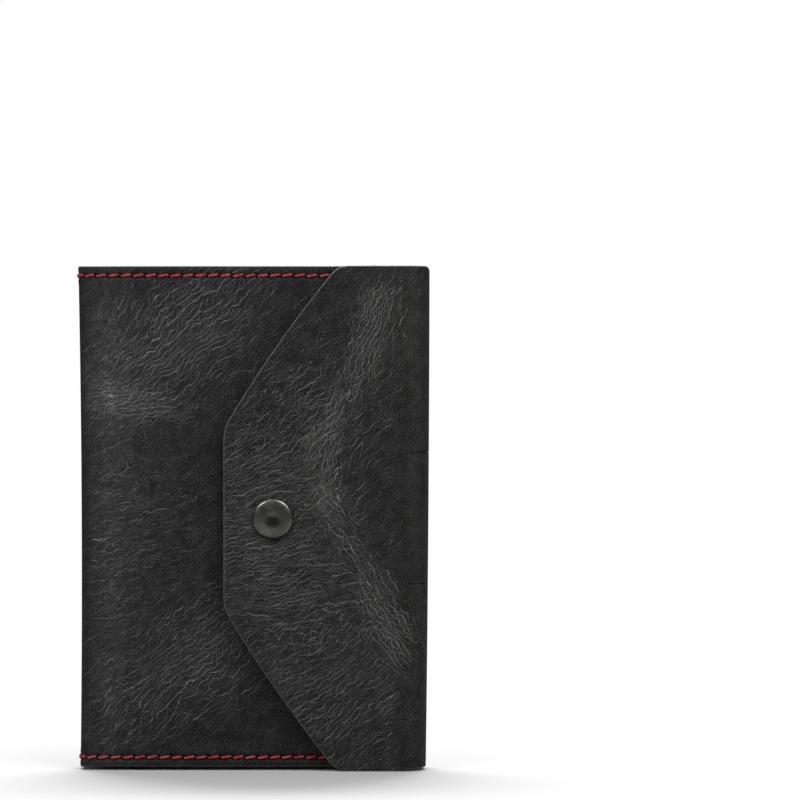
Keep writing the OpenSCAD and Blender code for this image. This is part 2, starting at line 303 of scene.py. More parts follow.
def rounded(thick, r):
    """Rounded edge from the outside face to the inside face, as (distance out from the rim, depth)."""
    outer = [(r * math.sin(a), r - r * math.cos(a)) for a in (0, 0.45, 0.95, math.pi / 2)]
    return outer + [(out, thick - deep) for out, deep in reversed(outer)]


def turned_in(thick, r):
    """Edge that turns in on itself in a half round, then closes behind it."""
    half = [(r * math.sin(a), r - r * math.cos(a)) for a in np.linspace(0, math.pi, 13)]
    return half + [(0, thick)]


class Sheet:
    """Collects the patches of one piece of hide, then makes one mesh of them."""

    def __init__(self, depth=0.0, thick=HIDE, outside=None, inside=None):
        """The sheet's outside lies at depth. outside and inside give the relief of its two faces."""
        self.depth, self.thick = depth, thick
        self.outside, self.inside = outside, inside
        self.points, self.flat, self.cut, self.faces, self.count = [], [], [], [], 0

    def _add(self, u, v, deep, cut=0.0):
        u, v = np.asarray(u, float), np.asarray(v, float)
        deep = np.broadcast_to(deep, u.shape).astype(float)
        share = np.clip(deep / self.thick, 0, 1)
        shift = np.zeros(u.shape)
        if self.outside:
            shift = shift + self.outside(u, v) * (1 - share)
        if self.inside:
            shift = shift + self.inside(u, v) * share
        self.points.append(place(u, v, self.depth + deep + shift).reshape(-1, 3))
        self.flat.append(np.stack([-u, v, deep], -1).reshape(-1, 3))
        self.cut.append(np.broadcast_to(cut, u.shape).astype(float).ravel())
        self.count += u.size
        return self.count - u.size + np.arange(u.size).reshape(u.shape)

    def _quads(self, ids):
        quads = np.stack([ids[:-1, :-1], ids[:-1, 1:], ids[1:, 1:], ids[1:, :-1]], -1)
        self.faces += quads.reshape(-1, 4).tolist()

    def patch(self, u, v, free, outward=None, edges=None, radius=EDGE_R):
        """u and v are grids, rows up and columns along +u. free names the sides that are cut edges."""
        outward, edges = {**OUTWARD, **(outward or {})}, edges or {}
        out = np.zeros(u.shape + (2,))
        for side in free:
            out[SIDES[side]] += np.asarray(outward[side], float)
        length = np.linalg.norm(out, axis=-1, keepdims=True)
        out = np.where(length > 1, out / np.maximum(length, 1e-9), out)
        self._quads(self._add(u, v, 0.0))
        self._quads(self._add(u, v, self.thick))
        for side in free:
            rim = SIDES[side]
            r = radius[side] if isinstance(radius, dict) else radius
            loops = edges.get(side) or rounded(self.thick, min(r, self.thick * 0.45))
            bare = BARE_EDGE if r > CUT_R else BARE_SLIT_SHADED
            ids = [self._add(u[rim] + o * out[rim][:, 0], v[rim] + o * out[rim][:, 1], d,
                             0.0 if o < 1e-9 else bare) for o, d in loops]
            self._quads(np.array(ids))

    def wall(self, u, v):
        """A plain wall through the hide along a line, such as the end of a slit."""
        ids = [self._add(u, v, d, BARE_SLIT_SHADED) for d in (0.0, self.thick)]
        self._quads(np.array(ids))

    def make(self, name, material):
        mesh = bpy.data.meshes.new(name)
        mesh.from_pydata((np.concatenate(self.points) * MM).tolist(), [], self.faces)
        for label, values in colour_fields(np.concatenate(self.flat)).items():
            add_field(mesh, label, values)
        add_field(mesh, "cut", np.concatenate(self.cut))
        weld(mesh, 2e-7)
        return new_object(name, mesh, material)


def steps_through(marks, step, fine=(), fine_step=0.3, reach=1.8):
    """Numbers that pass through every mark, about step apart, and fine_step apart near the fine ones."""
    low, high = min(marks), max(marks)
    marks = set(marks) | {f + side * reach for f in fine for side in (-1, 1) if low < f + side * reach < high}
    marks = sorted(marks)
    found = []
    for a, b in zip(marks, marks[1:]):
        near = any(abs((a + b) / 2 - f) < reach for f in fine)
        n = max(1, math.ceil((b - a) / (fine_step if near else step) - 1e-6))
        found += list(a + (b - a) * np.arange(n) / n)
    return np.array(found + [high])


def hill(x, z, at, radii, angle=0.0):
    """A soft hill of height 1, turned by an angle in degrees."""
    c, s = math.cos(math.radians(angle)), math.sin(math.radians(angle))
    dx, dz = x - at[0], z - at[1]
    return np.exp(-((c * dx + s * dz) / radii[0]) ** 2 - ((-s * dx + c * dz) / radii[1]) ** 2)


def ridge(x, z, a, b, width):
    """A soft ridge of height 1 along the line from a to b."""
    a, b = np.array(a, float), np.array(b, float)
    along = b - a
    t = np.clip(((x - a[0]) * along[0] + (z - a[1]) * along[1]) / (along @ along), 0, 1)
    return np.exp(-(np.hypot(x - a[0] - t * along[0], z - a[1] - t * along[1]) / width) ** 2)


def hills(x, z, *rows):
    """A sum of soft hills, each given by its height and what hill() takes."""
    return sum(height * hill(x, z, *rest) for height, *rest in rows)


# Each of these gives five fields: how far the hide is creased on the diagonal, level, steeply and falling, and how
# far it is painted lighter, as rubbed wear and as painted sheen
def front_fields(x, z):
    diagonal = 0.3 + hills(x, z, (0.9, (-22, 138), (30, 17), 40), (0.8, (-20, 34), (34, 17), 35))
    level = hills(x, z, (0.9, (-36, 116), (22, 6), -8), (0.5, (-25, 78), (26, 30)), (0.45, (-46, 50), (14, 60)))
    steep = hills(x, z, (0.3, (-45, 140), (12, 24)))
    falling = hills(x, z, (0.6, (-38, 94), (13, 20), 20), (0.3, (-10, 28), (16, 20)))
    # Lighter field: its first three hills are rubbed wear; those at (-46, 80), (-40, 85) and (-46, 138) are a painted
    # sheen along the spine side.
    wear_and_sheen = hills(x, z, (0.7, (-44, 116), (16, 7), -6), (0.35, (-26, 138), (26, 14), 40),
                   (0.20, (-18, 36), (30, 12), 35), (0.85, (-46, 80), (5.5, 95)),
                   (0.25, (-40, 85), (12, 60)), (0.5, (-46, 138), (9, 18)))
    return np.stack([diagonal, level, steep, falling, wear_and_sheen])


def back_fields(x, z):
    diagonal = 0.35 + hills(x, z, (0.4, (10, 115), (34, 28), 30))
    level = 0.3 + hills(x, z, (0.4, (-15, 50), (34, 30)))
    wear_and_sheen = 0.15 + hills(x, z, (0.3, (12, 85), (30, 45), 30))
    return np.stack([diagonal, level, np.full(x.shape, 0.25), np.full(x.shape, 0.2), wear_and_sheen])


def flap_fields(x, z):
    """The flap is creased along a bow, from its top corner down past the snap to its low corner."""
    low_bow = ridge(x, z, (24, 84), (46, 40), 7)
    bow = np.clip(ridge(x, z, (38, 150), (34, 128), 5.5) + ridge(x, z, (34, 128), (21, 104), 5.5)
                  + ridge(x, z, (22, 100), (23, 86), 5.5), 0, 1)
    near_fold = smooth((x - 43) / 7)
    diagonal = (0.35 + hills(x, z, (0.5, (16, 108), (26, 26), 50), (0.6, (26, 22), (30, 26)))) * (1 - 0.6 * near_fold)
    level = (0.25 + hills(x, z, (0.75, (0, 76), (24, 30)), (0.4, (20, 50), (24, 20)))) * (1 - 0.75 * near_fold)
    steep = (0.15 + 0.85 * bow + 0.1 * near_fold
             + hills(x, z, (0.4, (42, 146), (8, 14)), (0.5, (10, 36), (7, 18))))
    falling = 0.95 * low_bow + hills(x, z, (0.5, (44, 30), (8, 30)), (0.3, (22, 92), (8, 14)))
    # Lighter field: rubbed wear along the bows; near_fold and the hills at (51, 110) and (47, 143) are a painted
    # sheen where the hide bends round the fore edge.
    wear_and_sheen = (0.05 + 0.20 * np.maximum(bow, low_bow) + 0.12 * near_fold
              + hills(x, z, (0.40, (51, 110), (2, 60)), (0.45, (47, 143), (9, 22))))
    return np.stack([diagonal, level, steep, falling, wear_and_sheen])


def colour_fields(flat):
    """Where the hide is creased, in which direction, where it is rubbed lighter or carries painted sheen and
    highlight, and where it is pricked, with painted shade in its holes.
    """
    u, z = -flat[:, 0], flat[:, 1]
    x, _ = section(u, 0 * u)
    front = smooth((U_FRONT + SPINE_ARC - u) / (0.8 * SPINE_ARC))
    cover = front * front_fields(x, z) + (1 - front) * back_fields(x, z)
    diagonal, level, steep, falling, wear_and_sheen = np.where(u > U_FORE_MID, flap_fields(x, z), cover)
    # Painted highlight: a thin light line along both sides of the fore edge's flat, where it meets its bends.
    fold_highlight = np.exp(-((np.abs(u - U_FORE_MID) - FORE_FLAT / 2) / 0.9) ** 2)
    return {"hide": flat, "creases": np.stack([diagonal, level, steep], -1), "falling": falling,
            "wear_and_sheen": wear_and_sheen + 1.3 * fold_highlight,
            # Painted shade: near black in the stitch holes.
            "hole_shade": smooth(1.6 * stitch_pits(u, z)) * (flat[:, 2] < 0.1)}


# ---------------- finishes
class Nodes:
    """Short names for making the shader nodes of a material, or of the world."""

    def __init__(self, owner):
        owner.use_nodes = True
        self.owner, self.tree = owner, owner.node_tree
        self.shader = self.first("BSDF_PRINCIPLED", "BACKGROUND")
        self.surface = self.first("OUTPUT_MATERIAL", "OUTPUT_WORLD").inputs["Surface"]

    def first(self, *kinds):
        return next(n for n in self.tree.nodes if n.type in kinds)

    def node(self, kind, values=(), **settings):
        node = self.tree.nodes.new(kind)
        for key, value in settings.items():
            setattr(node, key, value)
        for key, value in dict(values).items():
            self.set(node.inputs[key], value)
        return node

    def set(self, socket, value):
        if isinstance(value, bpy.types.NodeSocket):
            self.tree.links.new(value, socket)
        else:
            socket.default_value = value

    def math(self, kind, a, b, clamp=False):
        return self.node("ShaderNodeMath", {0: a, 1: b}, operation=kind, use_clamp=clamp).outputs[0]

    def times(self, a, b, clamp=False):
        return self.math("MULTIPLY", a, b, clamp)

    def plus(self, a, b, clamp=False):
        return self.math("ADD", a, b, clamp)

    def vector(self, kind, a, b):
        return self.node("ShaderNodeVectorMath", {0: a, 1: b}, operation=kind).outputs[0]

    def mix(self, factor, a, b):
        node = self.node("ShaderNodeMix", data_type="RGBA")
        for socket, value in zip([node.inputs[0], node.inputs[6], node.inputs[7]], (factor, a, b)):
            self.set(socket, value)
        return node.outputs[2]

    def ramp(self, value, low, high, out_low=0.0, out_high=1.0):
        node = self.node("ShaderNodeMapRange", {0: value, 1: low, 2: high, 3: out_low, 4: out_high},
                         interpolation_type="SMOOTHSTEP")
        return node.outputs[0]

    def noise(self, where, scale, detail=2.0, rough=0.5, vector=False):
        values = {"Vector": where, "Scale": scale, "Detail": detail, "Roughness": rough}
        node = self.node("ShaderNodeTexNoise", values)
        return node.outputs["Color" if vector else "Fac"]

    def attribute(self, name, part="Fac"):
        return self.node("ShaderNodeAttribute", attribute_name=name).outputs[part]

    def bump(self, height, distance, strength):
        return self.node("ShaderNodeBump", {"Height": height, "Distance": distance, "Strength": strength}).outputs[0]

    def turned(self, where, angle):
        """Places turned about Z, so that lines that run at this angle come to lie level."""
        return self.node("ShaderNodeVectorRotate", {"Vector": where, "Angle": math.radians(-angle)},
                         rotation_type="Z_AXIS").outputs[0]

    def drift(self, where, scale, detail, reach):
        """A noise that moves places about by up to half of reach."""
        noise = self.vector("SUBTRACT", self.noise(where, scale, detail, vector=True), (0.5, 0.5, 0.5))
        return self.vector("MULTIPLY", noise, (reach, reach, 0.0))


def crease_lines(m, where, angle, spacing, thin, amount):
    """Wavy, broken creases that run at an angle, spacing mm apart: 1 on a crease, 0 off it.
    amount, from 0 to 1, is the share of the creases that show."""
    turned = m.turned(where, angle)
    across = m.node("ShaderNodeSeparateXYZ", {0: turned}).outputs[1]
    bend = m.noise(turned, 0.26, 1.0)
    saw = m.math("PINGPONG", m.plus(across, m.times(bend, 3.2)), spacing / 2)
    parts = m.noise(m.vector("MULTIPLY", turned, (0.10, 0.75, 0.0)), 1.0, 2.0, 0.6)
    shown = m.ramp(m.plus(parts, m.times(amount, 0.24)), 0.57, 0.80)
    width = m.times(m.plus(0.5, m.times(shown, 0.7)), thin)
    line = m.math("SUBTRACT", 1.0, m.math("DIVIDE", saw, width), clamp=True)
    return m.times(line, shown)


def net_lines(m, where, angle, length, width, thin):
    """A net of fine cracks, its cells length by width mm, drawn out at an angle."""
    scaled = m.vector("MULTIPLY", m.turned(where, angle), (1 / length, 1 / width, 0.0))
    cells = m.node("ShaderNodeTexVoronoi", {"Vector": scaled, "Scale": 1.0, "Randomness": 0.95},
                   feature="DISTANCE_TO_EDGE", voronoi_dimensions="2D").outputs["Distance"]
    return m.ramp(cells, 0.0, thin, 1.0, 0.0)


def nap_colour(m, flat, dark, pale):
    """Short fibres, brushed this way and that, with cloudy handling marks."""
    fibres = m.ramp(m.noise(m.vector("MULTIPLY", flat, (0.9, 1.5, 1.0)), 1.6, 5.0, 0.75), 0.32, 0.68)
    brushed = m.ramp(m.noise(m.vector("MULTIPLY", flat, (0.09, 0.03, 0.05)), 1.0, 4.0, 0.65), 0.3, 0.7)
    return m.mix(m.plus(m.times(fibres, 0.6), m.times(brushed, 0.4)), dark, pale)


# The ways that creases run, as angle and spacing, in the order of the fields that say where each runs
CREASE_WAYS = [(38, 1.7), (14, 1.5), (64, 1.6), (-54, 1.6)]
# The sets of creases in each way: turn, share of the spacing, thickness, weight, and the amount as a + b * field
CREASE_SETS = [(0, 1.0, 0.092, 1.0, 0.0, 1.0), (24, 0.7, 0.085, 0.5, 0.15, 0.8), (-13, 0.55, 0.07, 0.5, 0.0, 0.9)]


def all_creases(m, where):
    """Every way and every set of creases in one layer: 1 on a crease, 0 off it."""
    fields = list(m.node("ShaderNodeSeparateXYZ", {0: m.attribute("creases", "Vector")}).outputs)
    total = 0.0
    for i, ((angle, spacing), field) in enumerate(zip(CREASE_WAYS, fields + [m.attribute("falling")])):
        moved = m.vector("ADD", where, (17.0 * i, 31.0 * i, 0.0))
        layer = 0.0
        for turn, share, thin, weight, least, slope in CREASE_SETS:
            amount = m.plus(least, m.times(field, slope))
            lines = crease_lines(m, moved, angle + turn, spacing * share, thin, amount)
            layer = m.math("MAXIMUM", layer, m.times(lines, weight))
        total = m.math("MAXIMUM", total, m.times(layer, m.ramp(field, 0.0, 0.75)))
    return total


def leather(name, base, crease, wear_and_sheen_colour):
    """Aniline pull-up leather: a near-black grain whose creases and rubbed places show lighter. Painted sheen and
    highlight share the rubbed places' lighter colour, and the stitch holes are painted near black as shade.
    """
    m = Nodes(bpy.data.materials.new(name))
    flat = m.attribute("hide", "Vector")
    where = m.vector("ADD", m.vector("ADD", flat, m.drift(flat, 0.035, 1.0, 12.0)), m.drift(flat, 0.50, 2.0, 0.85))
    total = all_creases(m, where)
    fine = net_lines(m, where, 24, 0.95, 0.65, 0.28)
    fine = m.times(fine, m.ramp(m.noise(flat, 0.22, 2.0), 0.3, 0.7, 0.4, 1.0))
    pores = m.noise(flat, 3.4, 3.0, 0.6)
    wear_and_sheen = m.times(m.attribute("wear_and_sheen"), m.ramp(m.noise(where, 0.5, 4.0, 0.65), 0.3, 0.75, 0.35, 1.25))
    cloud = m.noise(flat, 0.06, 3.0, 0.55)

    colour = m.mix(m.times(m.ramp(cloud, 0.3, 0.7), 0.30), base, [c * 1.6 for c in base[:3]] + [1])
    # Painted lighter here, as rubbed wear and as painted sheen and highlight.
    colour = m.mix(m.times(wear_and_sheen, 0.55, clamp=True), colour, wear_and_sheen_colour)
    light = m.times(total, m.plus(0.85, m.times(wear_and_sheen, 0.7)), clamp=True)
    colour = m.mix(light, colour, crease)
    colour = m.mix(m.times(fine, 0.14), colour, crease)
    colour = m.mix(m.times(m.ramp(pores, 0.45, 0.62), 0.045), colour, crease)
    # Painted shade: the stitch holes are painted near black.
    colour = m.mix(m.attribute("hole_shade"), colour, (0.002, 0.002, 0.002, 1))
    bare = m.times(m.attribute("cut"), m.ramp(pores, 0.3, 0.7, 0.45, 0.85))
    colour = m.mix(bare, colour, (0.24, 0.237, 0.225, 1))
    depth = m.node("ShaderNodeSeparateXYZ", {0: flat}).outputs[2]
    inside = m.ramp(depth, HIDE - 0.06, HIDE - 0.01)
    colour = m.mix(inside, colour, nap_colour(m, flat, (0.016, 0.015, 0.014, 1), (0.062, 0.058, 0.053, 1)))

    height = m.plus(m.times(total, -0.55), m.times(fine, -0.35))
    height = m.plus(height, m.times(pores, 0.30))
    rough = m.plus(m.ramp(m.noise(flat, 0.9, 3.0), 0.3, 0.7, 0.42, 0.56), m.times(total, 0.08))
    rough = m.plus(rough, m.times(inside, 0.35), clamp=True)
    m.set(m.shader.inputs["Base Color"], colour)
    m.set(m.shader.inputs["Roughness"], rough)
    m.set(m.shader.inputs["Normal"], m.bump(height, 0.00016, 0.8))
    m.shader.inputs["Specular IOR Level"].default_value = 0.155
    return m.owner


def suede(name, dark, pale):
    """Split suede of the pockets: matt, napped and cloudy."""
    m = Nodes(bpy.data.materials.new(name))
    flat = m.attribute("hide", "Vector")
    colour = nap_colour(m, flat, dark, pale)
    colour = m.mix(m.times(m.attribute("cut"), 0.4), colour, (0.12, 0.112, 0.10, 1))
    m.set(m.shader.inputs["Base Color"], colour)
    height = m.plus(m.noise(flat, 1.3, 5.0, 0.75), m.noise(flat, 4.5, 3.0, 0.7))
    m.set(m.shader.inputs["Normal"], m.bump(height, 0.00022, 0.8))
    m.shader.inputs["Roughness"].default_value = 0.93
    m.shader.inputs["Sheen Weight"].default_value = 0.25
    m.shader.inputs["Sheen Roughness"].default_value = 0.6
    return m.owner


def thread(name, dark, mid, pale):
    """Waxed thread. Attribute 'twist' is 1 on the crowns of the plies, 0 between them, and below 0 down the holes;
    from it the thread gets painted shade between its plies and down the holes, and a painted highlight on the crowns.
    """
    m = Nodes(bpy.data.materials.new(name))
    twist = m.attribute("twist")
    flat = m.attribute("hide", "Vector")
    patchy = m.noise(flat, 0.8, 3.0)
    # Painted shade between the plies and a painted highlight on their crowns, broken up by noise.
    colour = m.mix(m.ramp(twist, 0.0, 0.75), dark, mid)
    colour = m.mix(m.times(m.ramp(patchy, 0.3, 0.7), m.ramp(twist, 0.65, 1.0)), colour, pale)
    # Painted shade: near black down the holes.
    colour = m.mix(m.ramp(twist, -1.2, -0.1), (0.004, 0.001, 0.001, 1), colour)
    m.set(m.shader.inputs["Base Color"], colour)
    m.set(m.shader.inputs["Normal"], m.bump(m.noise(flat, 7.0, 3.0), 0.00006, 0.6))
    m.shader.inputs["Roughness"].default_value = 0.52
    m.shader.inputs["Sheen Weight"].default_value = 0.1
    m.shader.inputs["Sheen Tint"].default_value = (1.0, 0.55, 0.6, 1)
    return m.owner


def metal(name, base, patchy, rough):
    """Plated snap metal, hazed by wear. Where a piece has its darkening attribute, that is 1 where the metal is
    painted black, as a painted dark reflection and painted shade.
    """
    m = Nodes(bpy.data.materials.new(name))
    where = m.node("ShaderNodeTexCoord").outputs["Object"]
    spots = m.noise(where, 900.0, 4.0, 0.6)
    haze = m.noise(where, 260.0, 3.0, 0.6)
    colour = m.mix(m.ramp(haze, 0.3, 0.7), base, patchy)
    black = m.times(m.attribute("dark_reflection_and_shade"), m.ramp(spots, 0.3, 0.6, 0.7, 1.0))
    colour = m.mix(black, colour, (0.01, 0.01, 0.011, 1))
    m.set(m.shader.inputs["Base Color"], colour)
    m.set(m.shader.inputs["Roughness"], m.ramp(spots, 0.3, 0.7, rough - 0.05, rough + 0.07))
    m.set(m.shader.inputs["Normal"], m.bump(m.noise(where, 1800.0, 3.0), 0.00002, 0.25))
    m.shader.inputs["Metallic"].default_value = 1.0
    return m.owner


# The last colour of each leather is that of rubbed wear and of the painted sheen and highlight.
LEATHER_BLACK = leather("leather_black", (0.0040, 0.0041, 0.0046, 1), (0.38, 0.38, 0.385, 1),
                        (0.060, 0.060, 0.062, 1))
LEATHER_FLAP = leather("leather_flap", (0.0028, 0.0028, 0.0026, 1), (0.40, 0.398, 0.39, 1),
                       (0.046, 0.045, 0.042, 1))
SUEDE = suede("suede_inner", (0.014, 0.013, 0.012, 1), (0.058, 0.054, 0.049, 1))
# Thread colours: painted shade between the plies, the thread's own red, and a painted highlight on the crowns.
THREAD = thread("thread_red", (0.07, 0.003, 0.007, 1), (0.53, 0.012, 0.028, 1), (0.88, 0.22, 0.27, 1))
ANTIQUE = metal("snap_antique", (0.18, 0.178, 0.166, 1), (0.29, 0.287, 0.268, 1), 0.27)
STEEL = metal("snap_steel", (0.50, 0.50, 0.49, 1), (0.62, 0.62, 0.60, 1), 0.28)


def finish_cad(slot, material, *nodes):
    """Gives a material to CAD nodes that are good enough as they are."""
    for name in nodes:
        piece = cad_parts[name]
        piece.data.materials.clear()
        piece.data.materials.append(material)


# ---------------- the hide
LIFT = FRONT_LOW[2]                              # the front is cut this much shorter than the back
TURN_R = (HIDE + POCKET) / 2                     # the front's free edge turns in round the pocket's
U_FRONT_RIM = u_on_front(FRONT_HIGH[0] - TURN_R)
STRAP_GAP = 0.15                                 # from the CAD strap to the middle of each slit
SLIT_LOW = STRAP_LOW[2] - STRAP_GAP
SLIT_HIGH = STRAP_HIGH[2] + STRAP_GAP
ROOT_ANGLE = math.asin((STRAP_LOW[0] - X_FORE_FOLD) / FORE_R)
U_WINDOW_BACK = U_FORE_BACK + FORE_R * ROOT_ANGLE
U_WINDOW_FRONT = U_FLAP - FORE_R * ROOT_ANGLE
FRONT_SEAMS = [Z_TOP_SEAM, Z_FRONT_LOW_SEAM]
BACK_SEAMS = [Z_TOP_SEAM, Z_BACK_LOW_SEAM]


def narrowed(u, v):
    """Closes the two slits towards the back, where the hide isn't bent so tightly."""
    share = smooth((U_FORE_MID + 2 - u) / 4)
    for z in (SLIT_LOW, SLIT_HIGH):
        off = v - z
        shift = np.minimum(SLIT / 2 - 0.02, 0.45 * np.abs(off)) * np.clip(1.1 - np.abs(off) / 3, 0, 1)
        v = v - np.sign(off) * share * shift
    return v


def lowered(u, v, reach=2.4):
    """Lets the lowest rows run down from the front's lower edge to the back's, and leaves the rest level."""
    share = np.clip((LIFT + EDGE_R + reach - v) / reach, 0, 1)
    return v - LIFT * smooth((u - U_FRONT) / (U_BACK - U_FRONT)) * share


def sewn_inside(u, v):
    """The dents of the stitches on the inside face, a little shallower than outside."""
    return -0.7 * stitch_dents(u, v)


def make_front_hide():
    piece = Sheet(outside=stitch_dents)
    marks = [U_FRONT_RIM, U_FRONT, 0.0, *FRONT_HOLES, *SPINE_HOLES[SPINE_HOLES < -0.1]]
    rows = steps_through([LIFT + EDGE_R, HEIGHT - EDGE_R], 1.0, FRONT_SEAMS)
    u, v = np.meshgrid(steps_through(marks, HOLE_STEP), rows)
    piece.patch(u, lowered(u, v), ("top", "bottom", "low_u"), edges={"low_u": turned_in(HIDE, TURN_R)})
    return piece.make("front_hide", LEATHER_BLACK)


def make_spine_back_hide():
    piece = Sheet(outside=stitch_dents)
    marks = [0.0, U_BACK, U_BACK_MID, *SPINE_HOLES[SPINE_HOLES > -0.1], *BACK_HOLES[BACK_HOLES < U_BACK_MID]]
    rows = steps_through([LIFT + EDGE_R, HEIGHT - EDGE_R], 1.0, FRONT_SEAMS + [Z_BACK_LOW_SEAM])
    u, v = np.meshgrid(steps_through(marks, HOLE_STEP), rows)
    piece.patch(u, lowered(u, v), ("top", "bottom"))
    return piece.make("spine_back_hide", LEATHER_BLACK)


def slit_rows(step, fine=()):
    """Rows of the fore edge, which pass through both rims of both slits."""
    rims = [z + side * (SLIT / 2 + CUT_R) for z in (SLIT_LOW, SLIT_HIGH) for side in (-1, 1)]
    return steps_through([EDGE_R, HEIGHT - EDGE_R] + rims, step, fine), rims


def fore_edge_patches(piece, columns, window, rows, rims):
    """Two strips of hide beside the window of the pen strap; the slits are cut along their inner edges."""
    u, v = np.meshgrid(columns, rows[rows <= rims[0] + 1e-9])
    piece.patch(u, narrowed(u, v), ("bottom", "top"), radius={"bottom": EDGE_R, "top": CUT_R})
    u, v = np.meshgrid(columns, rows[rows >= rims[3] - 1e-9])
    piece.patch(u, narrowed(u, v), ("bottom", "top"), radius={"bottom": CUT_R, "top": EDGE_R})
    for low, high in ((rims[0], rims[1]), (rims[2], rims[3])):
        z = np.linspace(low, high, 4)
        piece.wall(0 * z + window, narrowed(0 * z + window, z))


def make_back_fore_hide():
    piece = Sheet(outside=stitch_dents)
    rows, rims = slit_rows(1.0, BACK_SEAMS)
    marks = [U_BACK_MID, U_WINDOW_BACK, U_FORE_BACK, *BACK_HOLES[BACK_HOLES > U_BACK_MID]]
    u, v = np.meshgrid(steps_through(marks, HOLE_STEP), rows)
    piece.patch(u, np.where(u > U_WINDOW_BACK - 1e-6, narrowed(u, v), v), ("top", "bottom"))
    fore_edge_patches(piece, steps_through([U_WINDOW_BACK, U_FORE_MID], 0.5), U_WINDOW_BACK, rows, rims)
    return piece.make("back_fore_hide", LEATHER_BLACK)


def make_strap_hide():
    piece = Sheet()
    rims = [SLIT_LOW + SLIT / 2 + CUT_R, SLIT_HIGH - SLIT / 2 - CUT_R]
    u, v = np.meshgrid(steps_through([U_WINDOW_BACK, U_FORE_MID, U_WINDOW_FRONT], 0.5), steps_through(rims, 1.0))
    piece.patch(u, narrowed(u, v), ("top", "bottom"), radius=CUT_R)
    return piece.make("pen_strap_hide", LEATHER_FLAP)


# The flap's outline above its middle: nose, slanted side and shoulder. Each is an arc, given as its radius and the
# headings in degrees that it starts and ends on, and meets the next smoothly.
FLAP_ARCS = [(13.0, 90.0, 59.0), (400.0, 59.0, 51.0), (7.0, 51.0, 0.0)]
SHOULDER_ROWS = np.array([0.0, 0.02, 0.08, 0.2, 0.4, 0.7, 1.1, 1.6])     # how far down the shoulder's rows lie


def flap_outline(inset):
    """Points of the upper half of the flap's outline, and their outward directions, moved in by inset."""
    radii, starts, ends = (np.array(a) for a in zip(*FLAP_ARCS))
    rise = np.sum(radii * (np.cos(np.radians(ends)) - np.cos(np.radians(starts))))
    at = np.array([FLAP_LOW[0], HEIGHT - rise])
    points, headings = [], []
    for r, a0, a1 in FLAP_ARCS:
        a = np.radians(np.linspace(a0, a1, 60))
        points.append(at + r * np.stack([np.sin(a[0]) - np.sin(a), np.cos(a) - np.cos(a[0])], -1))
        headings.append(a)
        at = points[-1][-1]
    points, headings = np.concatenate(points), np.concatenate(headings)
    outward = np.stack([-np.sin(headings), np.cos(headings)], -1)
    return points - inset * outward, outward


def make_flap_hide():
    """The flap, whose rows run from its base, just past the hinge line, to its outline."""
    piece = Sheet(outside=snap_dent)
    edge, outward = flap_outline(EDGE_R)
    shoulder = HEIGHT - EDGE_R - SHOULDER_ROWS
    rows, rims = slit_rows(0.8)
    inner = rows[(rows > HEIGHT - shoulder[-1] + 0.1) & (rows < shoulder[-1] - 0.1)]
    rows = np.unique(np.round(np.concatenate([inner, shoulder, HEIGHT - shoulder]), 6))
    rims = [rows[np.argmin(abs(rows - z))] for z in rims]
    height = np.abs(rows - Z_MID) + Z_MID
    nose = height < edge[0, 1]
    x = np.interp(height, edge[:, 1], edge[:, 0])
    x_out = np.interp(height, edge[:, 1], outward[:, 0])
    z_out = np.interp(height, edge[:, 1], outward[:, 1]) * np.sign(rows - Z_MID)
    x_out, z_out = np.where(nose, -1.0, x_out), np.where(nose, 0.0, z_out)
    ends = u_on_flap(x)
    u_base = U_FLAP + 2.0
    u, v = np.meshgrid(steps_through([U_WINDOW_FRONT, U_FLAP, u_base], 0.6), rows)
    piece.patch(u, v, ("top", "bottom"))
    share = np.linspace(0, 1, 100)
    u = u_base + share[None, :] * (ends - u_base)[:, None]
    v = np.broadcast_to(rows[:, None], u.shape)
    piece.patch(u, v, ("top", "bottom", "high_u"), outward={"high_u": np.stack([-x_out, z_out], -1)})
    fore_edge_patches(piece, steps_through([U_FORE_MID, U_WINDOW_FRONT], 0.5), U_WINDOW_FRONT, rows, rims)
    return piece.make("flap_hide", LEATHER_FLAP)


front_hide = make_front_hide()
spine_back_hide = make_spine_back_hide()
back_fore_hide = make_back_fore_hide()
flap_hide = make_flap_hide()
strap_hide = make_strap_hide()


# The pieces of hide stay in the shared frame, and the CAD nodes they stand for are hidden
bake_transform(front_hide)
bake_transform(spine_back_hide)
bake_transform(back_fore_hide)
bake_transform(flap_hide)
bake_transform(strap_hide)
for piece, node, slot in ((front_hide, "front_panel", "leather_black"),
                          (spine_back_hide, "spine_panel", "leather_black"),
                          (back_fore_hide, "fore_edge_fold", "leather_black"),
                          (flap_hide, "flap", "leather_flap"),
                          (strap_hide, "pen_strap", "leather_flap")):
    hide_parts(node)
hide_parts("back_panel")


# ---------------- pockets and lining
def front_pocket_inside(u, v):
    """Inside face of the front pocket, which the snap's eyelet pushes out behind the stud."""
    return sewn_inside(u, v) + np.where(u < U_FRONT, snap_press(u, v, 4.6), 0)


def make_suede(name, thick, columns, low, seams, free, inside):
    """A sheet of suede under the hide, its lower edge at low and its columns given."""
    piece = Sheet(depth=HIDE, thick=thick, inside=inside)
    u, v = np.meshgrid(columns, steps_through([low + EDGE_R, HEIGHT - EDGE_R], 1.2, seams))
    piece.patch(u, v, free)
    return piece.make(name, SUEDE)


